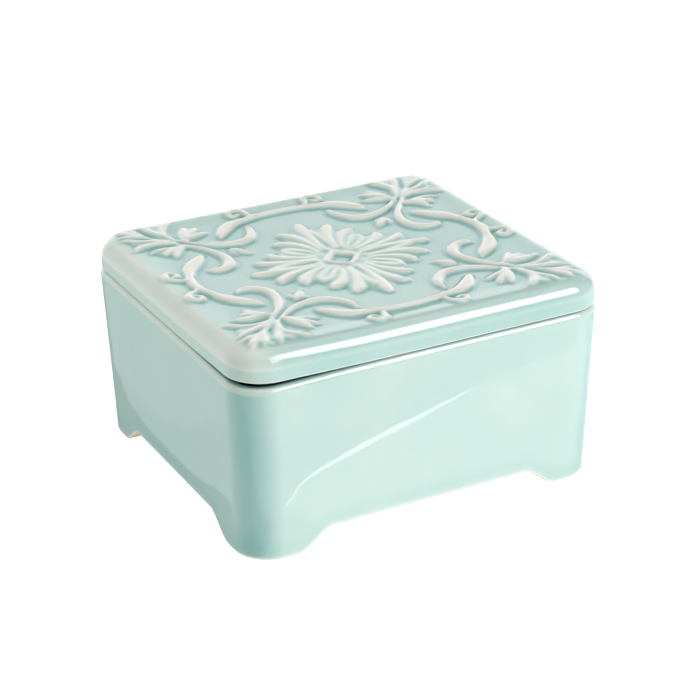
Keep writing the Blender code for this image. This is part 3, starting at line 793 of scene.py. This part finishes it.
def glaze_material(name):
    """Celadon glaze over a pale body: colour by thickness, clouding, specks, and bare clay at wiped edges."""
    material = bpy.data.materials.new(name)
    material.use_nodes = True
    tree = material.node_tree
    shader = tree.nodes["Principled BSDF"]
    link = tree.links.new

    place = node(tree, "ShaderNodeTexCoord")
    thickness = node(tree, "ShaderNodeAttribute", attribute_name="glaze")
    clay = node(tree, "ShaderNodeAttribute", attribute_name="bare")

    def texture(kind, **sockets):
        made = node(tree, kind, sockets)
        link(place.outputs["Object"], made.inputs["Vector"])
        return made

    # clouding: the thickness wanders a little
    cloud = texture("ShaderNodeTexNoise", Scale=CLOUD_SCALE, Detail=4.0)
    drift = node(tree, "ShaderNodeMapRange", {"To Min": -CLOUD_STRENGTH, "To Max": CLOUD_STRENGTH})
    link(cloud.outputs["Fac"], drift.inputs["Value"])
    depth = node(tree, "ShaderNodeMath", operation="ADD", use_clamp=True)
    link(thickness.outputs["Fac"], depth.inputs[0])
    link(drift.outputs["Result"], depth.inputs[1])

    # colour by thickness
    ramp = node(tree, "ShaderNodeValToRGB")
    stops = ramp.color_ramp
    stops.elements[0].position, stops.elements[0].color = 0.12, THIN_COLOUR
    stops.elements[1].position, stops.elements[1].color = 1.0, POOLED_COLOUR
    for position, colour in ((0.34, PALE_COLOUR), (0.5, PLAIN_COLOUR), (0.74, DEEP_COLOUR)):
        stops.elements.new(position).color = colour
    link(depth.outputs["Value"], ramp.inputs["Fac"])

    # a few faint iron specks
    specks = texture("ShaderNodeTexVoronoi", Scale=SPECK_SCALE)
    dot = node(tree, "ShaderNodeMapRange", {"From Min": SPECK_RADIUS, "From Max": SPECK_CORE})
    link(specks.outputs["Distance"], dot.inputs["Value"])
    rarity = node(tree, "ShaderNodeSeparateColor")
    link(specks.outputs["Color"], rarity.inputs["Color"])
    chosen = node(tree, "ShaderNodeMath", {1: SPECK_RARITY}, operation="GREATER_THAN")
    link(rarity.outputs["Red"], chosen.inputs[0])
    speck = node(tree, "ShaderNodeMath", operation="MULTIPLY")
    link(dot.outputs["Result"], speck.inputs[0])
    link(chosen.outputs["Value"], speck.inputs[1])
    faint = node(tree, "ShaderNodeMath", {1: SPECK_STRENGTH}, operation="MULTIPLY")
    link(speck.outputs["Value"], faint.inputs[0])
    flecked = node(tree, "ShaderNodeMix", {"B": SPECK_COLOUR}, data_type="RGBA")
    link(faint.outputs["Value"], flecked.inputs["Factor"])
    link(ramp.outputs["Color"], flecked.inputs["A"])

    # bare clay, with a ragged edge to the glaze
    ragged = texture("ShaderNodeTexNoise", Scale=RAGGED_SCALE, Detail=5.0)
    edge = node(tree, "ShaderNodeMath", operation="ADD")
    link(clay.outputs["Fac"], edge.inputs[0])
    link(ragged.outputs["Fac"], edge.inputs[1])
    bare = node(tree, "ShaderNodeMapRange", {"From Min": RAGGED_START, "From Max": RAGGED_END})
    link(edge.outputs["Value"], bare.inputs["Value"])
    grain = node(tree, "ShaderNodeMix", {"A": BISQUE_COLOUR, "B": PALE_BISQUE_COLOUR}, data_type="RGBA")
    link(ragged.outputs["Fac"], grain.inputs["Factor"])
    surface = node(tree, "ShaderNodeMix", data_type="RGBA")
    link(bare.outputs["Result"], surface.inputs["Factor"])
    link(flecked.outputs["Result"], surface.inputs["A"])
    link(grain.outputs["Result"], surface.inputs["B"])
    link(surface.outputs["Result"], shader.inputs["Base Color"])

    # gloss that varies slightly, and matt clay
    gloss = texture("ShaderNodeTexNoise", Scale=GLOSS_SCALE)
    sheen = node(tree, "ShaderNodeMapRange", {"To Min": SMOOTHEST, "To Max": ROUGHEST})
    link(gloss.outputs["Fac"], sheen.inputs["Value"])
    rough = node(tree, "ShaderNodeMix", {"B": BISQUE_ROUGHNESS}, data_type="FLOAT")
    link(bare.outputs["Result"], rough.inputs["Factor"])
    link(sheen.outputs["Result"], rough.inputs["A"])
    link(rough.outputs["Result"], shader.inputs["Roughness"])

    # ripples in the glaze
    ripple = texture("ShaderNodeTexNoise", Scale=RIPPLE_SCALE, Detail=2.0)
    bump = node(tree, "ShaderNodeBump", {"Strength": RIPPLE_STRENGTH, "Distance": RIPPLE_DISTANCE})
    link(ripple.outputs["Fac"], bump.inputs["Height"])
    link(bump.outputs["Normal"], shader.inputs["Normal"])

    shader.inputs["IOR"].default_value = 1.5
    shader.inputs["Subsurface Weight"].default_value = 0.12
    shader.inputs["Subsurface Radius"].default_value = (1.0, 0.9, 0.8)
    shader.inputs["Subsurface Scale"].default_value = 0.0012
    return material


def glowing_material(name, colour, glow_colour, glow):
    """A plain surface that gives off light as well."""
    material = bpy.data.materials.new(name)
    material.use_nodes = True
    shader = material.node_tree.nodes["Principled BSDF"]
    shader.inputs["Base Color"].default_value = (*colour, 1)
    shader.inputs["Emission Color"].default_value = (*glow_colour, 1)
    shader.inputs["Emission Strength"].default_value = glow
    return material


def floor_material():
    """White paper that glows a little, so that it stays white round the box."""
    material = glowing_material("pale_floor", MIDDLE_GREY, WHITE, FLOOR_GLOW)
    shader = material.node_tree.nodes["Principled BSDF"]
    shader.inputs["Roughness"].default_value = 0.9
    shader.inputs["Specular IOR Level"].default_value = 0.1
    return material


# ---------------------------------------------------------------- pieces
def make_base():
    shell = Shell()
    base_rings(shell)
    base = shell.build("glazed_base", base_drift)
    base.data.materials.append(glaze_material("base_glaze"))
    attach(base, "base")
    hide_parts("box_base")


def make_lid():
    shell = Shell()
    lid_rings(shell)
    lid = shell.build("glazed_lid", lid_drift)
    lid.data.materials.append(glaze_material("lid_glaze"))
    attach(lid, "lid")
    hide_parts("lid")


# ---------------------------------------------------------------- stage, camera, light
CAMERA_AZIMUTH = math.radians(27.7)
CAMERA_ELEVATION = math.radians(24.7)
CAMERA_ROLL = math.radians(-0.965)
CAMERA_DISTANCE = 0.6403
CAMERA_LENS = 101.6
CAMERA_SIDESTEP = 0.00242
CAMERA_LIFT = 0.00388
SENSOR_WIDTH = 36.0
AIM = Vector((0.0, 0.0, 0.030))

FLOOR_GLOW = 0.80
CARD_GLOW = 1.38
WORLD_DARK = 0.05
WORLD_BRIGHT = 0.27
WINDOW_GLOW = 1.0
CREASE_GLOW = 6.0
SHEET_GLOW = 1.0
FAR_SHADE_GLOW = 0.64
NEAR_SHADE_GLOW = 0.52
SHADOW_GLOW = 0.1
PAPER_GREY = 0.8
SHADE_GREY = 0.1
FLAT_CARD_LIFT = 0.0004

FLOOR_HALF_SIZE = 3.0
BACK_CARD_HALF_SIZE = 0.5
BACK_CARD_SCALE = (2.6, 1.1, 1)
BACK_CARD_DISTANCE = 1.5
BACK_CARD_LIFT = 0.55
BACK_CARD_COLOUR = (0.93, 0.97, 1.0)

WORLD_COLOUR = (0.96, 0.99, 1.0, 1)
FADE_AXIS = (-0.75, 0.60, 0.28)
FADE_START = -0.6
FADE_END = 0.9
WINDOW_AXIS = (-0.36, 0.86, 0.36)
WINDOW_START = 0.55

# (name, azimuth, elevation, distance, width, height, power, colour, what doesn't see it)
SOFTBOXES = (
    ("key_front_right", 36, 39, 1.5, 0.50, 0.80, 12.4, WHITE, None),
    ("key_pane", 12, 38, 1.5, 0.50, 0.80, 7.5, WHITE, "diffuse"),
    ("key_halo", 36, 34, 1.56, 0.52, 0.7, 5.6, WHITE, "diffuse"),
    ("low_front", 27, 8, 1.6, 1.2, 0.6, 12.0, WHITE, "glossy"),
    ("overhead_left", -80, 72, 1.0, 0.7, 0.7, 1.35, (1.0, 0.97, 0.92), None),
    ("back_left", -160, 20, 1.2, 0.75, 0.75, 2.6, (1.0, 0.96, 0.88), "glossy"),
    ("ceiling", 20, 78, 1.3, 1.6, 1.3, 8.0, WHITE, "diffuse"),
    ("upper_left", -100, 42, 1.2, 0.8, 0.8, 1.8, (0.98, 0.98, 0.88), None),
)


def make_camera():
    forward = Vector((math.sin(CAMERA_AZIMUTH) * math.cos(CAMERA_ELEVATION),
                      math.cos(CAMERA_AZIMUTH) * math.cos(CAMERA_ELEVATION), -math.sin(CAMERA_ELEVATION)))
    level = forward.cross(Vector((0, 0, 1))).normalized()
    upright = level.cross(forward)
    right = level * math.cos(CAMERA_ROLL) + upright * math.sin(CAMERA_ROLL)
    up = upright * math.cos(CAMERA_ROLL) - level * math.sin(CAMERA_ROLL)
    data = bpy.data.cameras.new("camera")
    data.lens = CAMERA_LENS
    data.sensor_width = SENSOR_WIDTH
    camera = bpy.data.objects.new("camera", data)
    turn = Matrix((right, up, -forward)).transposed().to_4x4()
    place = AIM - forward * CAMERA_DISTANCE + right * CAMERA_SIDESTEP + up * CAMERA_LIFT
    camera.matrix_world = Matrix.Translation(place) @ turn
    bpy.context.scene.collection.objects.link(camera)
    bpy.context.scene.camera = camera


def plane_mesh(name, cells, half_size):
    bm = bmesh.new()
    bmesh.ops.create_grid(bm, x_segments=cells, y_segments=cells, size=half_size)
    mesh = bpy.data.meshes.new(name)
    bm.to_mesh(mesh)
    bm.free()
    return mesh


def make_floor():
    mesh = plane_mesh("floor", 8, FLOOR_HALF_SIZE)
    mesh.materials.append(floor_material())
    floor = bpy.data.objects.new("floor", mesh)
    bpy.context.scene.collection.objects.link(floor)


def make_backdrop():
    """A bright card behind the box, which the lid mirrors at a low angle."""
    mesh = plane_mesh("back_card", 4, BACK_CARD_HALF_SIZE)
    mesh.materials.append(glowing_material("back_card", MIDDLE_GREY, BACK_CARD_COLOUR, CARD_GLOW))
    card = bpy.data.objects.new("back_card", mesh)
    away = Vector((math.sin(CAMERA_AZIMUTH), math.cos(CAMERA_AZIMUTH), 0))
    card.location = away * BACK_CARD_DISTANCE + Vector((0, 0, BACK_CARD_LIFT))
    card.scale = BACK_CARD_SCALE
    card.rotation_euler = (-away).to_track_quat("Z", "Y").to_euler()
    card.visible_diffuse = False
    bpy.context.scene.collection.objects.link(card)


def flat_card(name, first, second, glow, grey):
    """A strip between two lines of points just over the floor. It shows only as a reflection in the glaze."""
    count = len(first)
    faces = [(i, i + 1, i + 1 + count, i + count) for i in range(count - 1)]
    mesh = bpy.data.meshes.new(name)
    mesh.from_pydata([(x * MM, y * MM, FLAT_CARD_LIFT) for x, y in first + second], [], faces)
    mesh.materials.append(glowing_material(name, (grey, grey, grey), WHITE, glow))
    card = bpy.data.objects.new(name, mesh)
    card.visible_camera = False
    card.visible_diffuse = False
    card.visible_shadow = False
    bpy.context.scene.collection.objects.link(card)


def make_glowing_strips():
    """Glowing strips on the floor in front of the box, seen only in reflection: a bright crease, and a
    fainter sheet from it to the box. They lay painted light on the front wall.
    """
    crease = [(-39, -82), (-35.5, -84), (-32.5, -86), (-30, -89), (-28, -91), (-25, -92.5), (-22, -94),
              (-15, -97), (-3, -102), (8, -105.5), (18, -108.5), (28, -111), (40, -114.5), (51, -118)]
    widths = (0.4, 0.5, 0.4, 0.6, 0.45, 0.6, 0.8, 1.2, 1.8, 2.1, 2.0, 1.6, 1.1, 0.4)
    inner = [(x + 0.3, y + width) for (x, y), width in zip(crease, widths)]
    flat_card("glowing_crease_strip", crease, inner, CREASE_GLOW, PAPER_GREY)
    edge = inner + [(90, -128), (140, -140)]
    toward_box = [(x + 8, -64) for x, _ in edge]
    flat_card("glowing_sheet_strip", edge, toward_box, SHEET_GLOW, PAPER_GREY)


def make_shade():
    """Dark cards on the floor at the left, seen only as the end wall mirrors them: painted shade in two greys
    with a wavy edge, and the box's painted shadow.
    """
    wave = [(-88, -75), (-88, 18), (-90, 24), (-91, 31), (-87, 35), (-84, 34), (-80, 33), (-76, 43),
            (-74, 52), (-75, 64), (-78, 78), (-79, 93), (-97, 150), (-97, 240)]
    shadow = [(-72, -75), (-72, -15), (-70, -4), (-69, 4), (-69, 12), (-69, 18), (-69, 26), (-69, 36),
              (-70, 50), (-73, 64), (-76, 78), (-78, 93), (-96, 150), (-96, 240)]
    table_reach = 460
    far = [(x - table_reach, y) for x, y in wave]
    under_box = [(-58, y) for _, y in shadow]
    flat_card("table_shade", wave, far, FAR_SHADE_GLOW, SHADE_GREY)
    flat_card("near_shade", shadow, wave, NEAR_SHADE_GLOW, SHADE_GREY)
    # box_shadow stands in for the box's shadow on the floor: a painted shadow
    flat_card("box_shadow", under_box, shadow, SHADOW_GLOW, SHADE_GREY)


def softbox(name, azimuth, elevation, distance, width, height, power, colour, unseen_by):
    """A rectangular light aimed at the box. Azimuth is measured from the front, positive to the right."""
    turn, rise = math.radians(azimuth), math.radians(elevation)
    away = Vector((math.sin(turn) * math.cos(rise), -math.cos(turn) * math.cos(rise), math.sin(rise)))
    data = bpy.data.lights.new(name, "AREA")
    data.shape = "RECTANGLE"
    data.size, data.size_y = width, height
    data.energy = power
    data.color = colour
    light = bpy.data.objects.new(name, data)
    light.location = AIM + away * distance
    light.rotation_euler = away.to_track_quat("Z", "Y").to_euler()
    light.visible_diffuse = unseen_by != "diffuse"
    light.visible_glossy = unseen_by != "glossy"
    bpy.context.scene.collection.objects.link(light)


def make_world():
    """A dim room, brighter behind on the left, with a soft window there."""
    world = bpy.data.worlds.new("studio")
    bpy.context.scene.world = world
    world.use_nodes = True
    tree = world.node_tree
    link = tree.links.new
    place = node(tree, "ShaderNodeTexCoord")
    across = node(tree, "ShaderNodeVectorMath", {1: FADE_AXIS}, operation="DOT_PRODUCT")
    link(place.outputs["Generated"], across.inputs[0])
    fade = node(tree, "ShaderNodeMapRange", {"From Min": FADE_START, "From Max": FADE_END,
                                             "To Min": WORLD_DARK, "To Max": WORLD_BRIGHT},
                interpolation_type="SMOOTHSTEP")
    link(across.outputs["Value"], fade.inputs["Value"])
    behind = node(tree, "ShaderNodeVectorMath", {1: WINDOW_AXIS}, operation="DOT_PRODUCT")
    link(place.outputs["Generated"], behind.inputs[0])
    window = node(tree, "ShaderNodeMapRange", {"From Min": WINDOW_START, "From Max": 1.0,
                                               "To Max": WINDOW_GLOW},
                  interpolation_type="SMOOTHSTEP")
    link(behind.outputs["Value"], window.inputs["Value"])
    total = node(tree, "ShaderNodeMath", operation="ADD")
    link(fade.outputs["Result"], total.inputs[0])
    link(window.outputs["Result"], total.inputs[1])
    link(total.outputs["Value"], tree.nodes["Background"].inputs["Strength"])
    tree.nodes["Background"].inputs["Color"].default_value = WORLD_COLOUR


def make_light():
    make_world()
    for settings in SOFTBOXES:
        softbox(*settings)
    bpy.context.scene.view_settings.view_transform = "Standard"


make_camera()
make_floor()
make_backdrop()
make_glowing_strips()
make_shade()
make_light()
make_base()
make_lid()
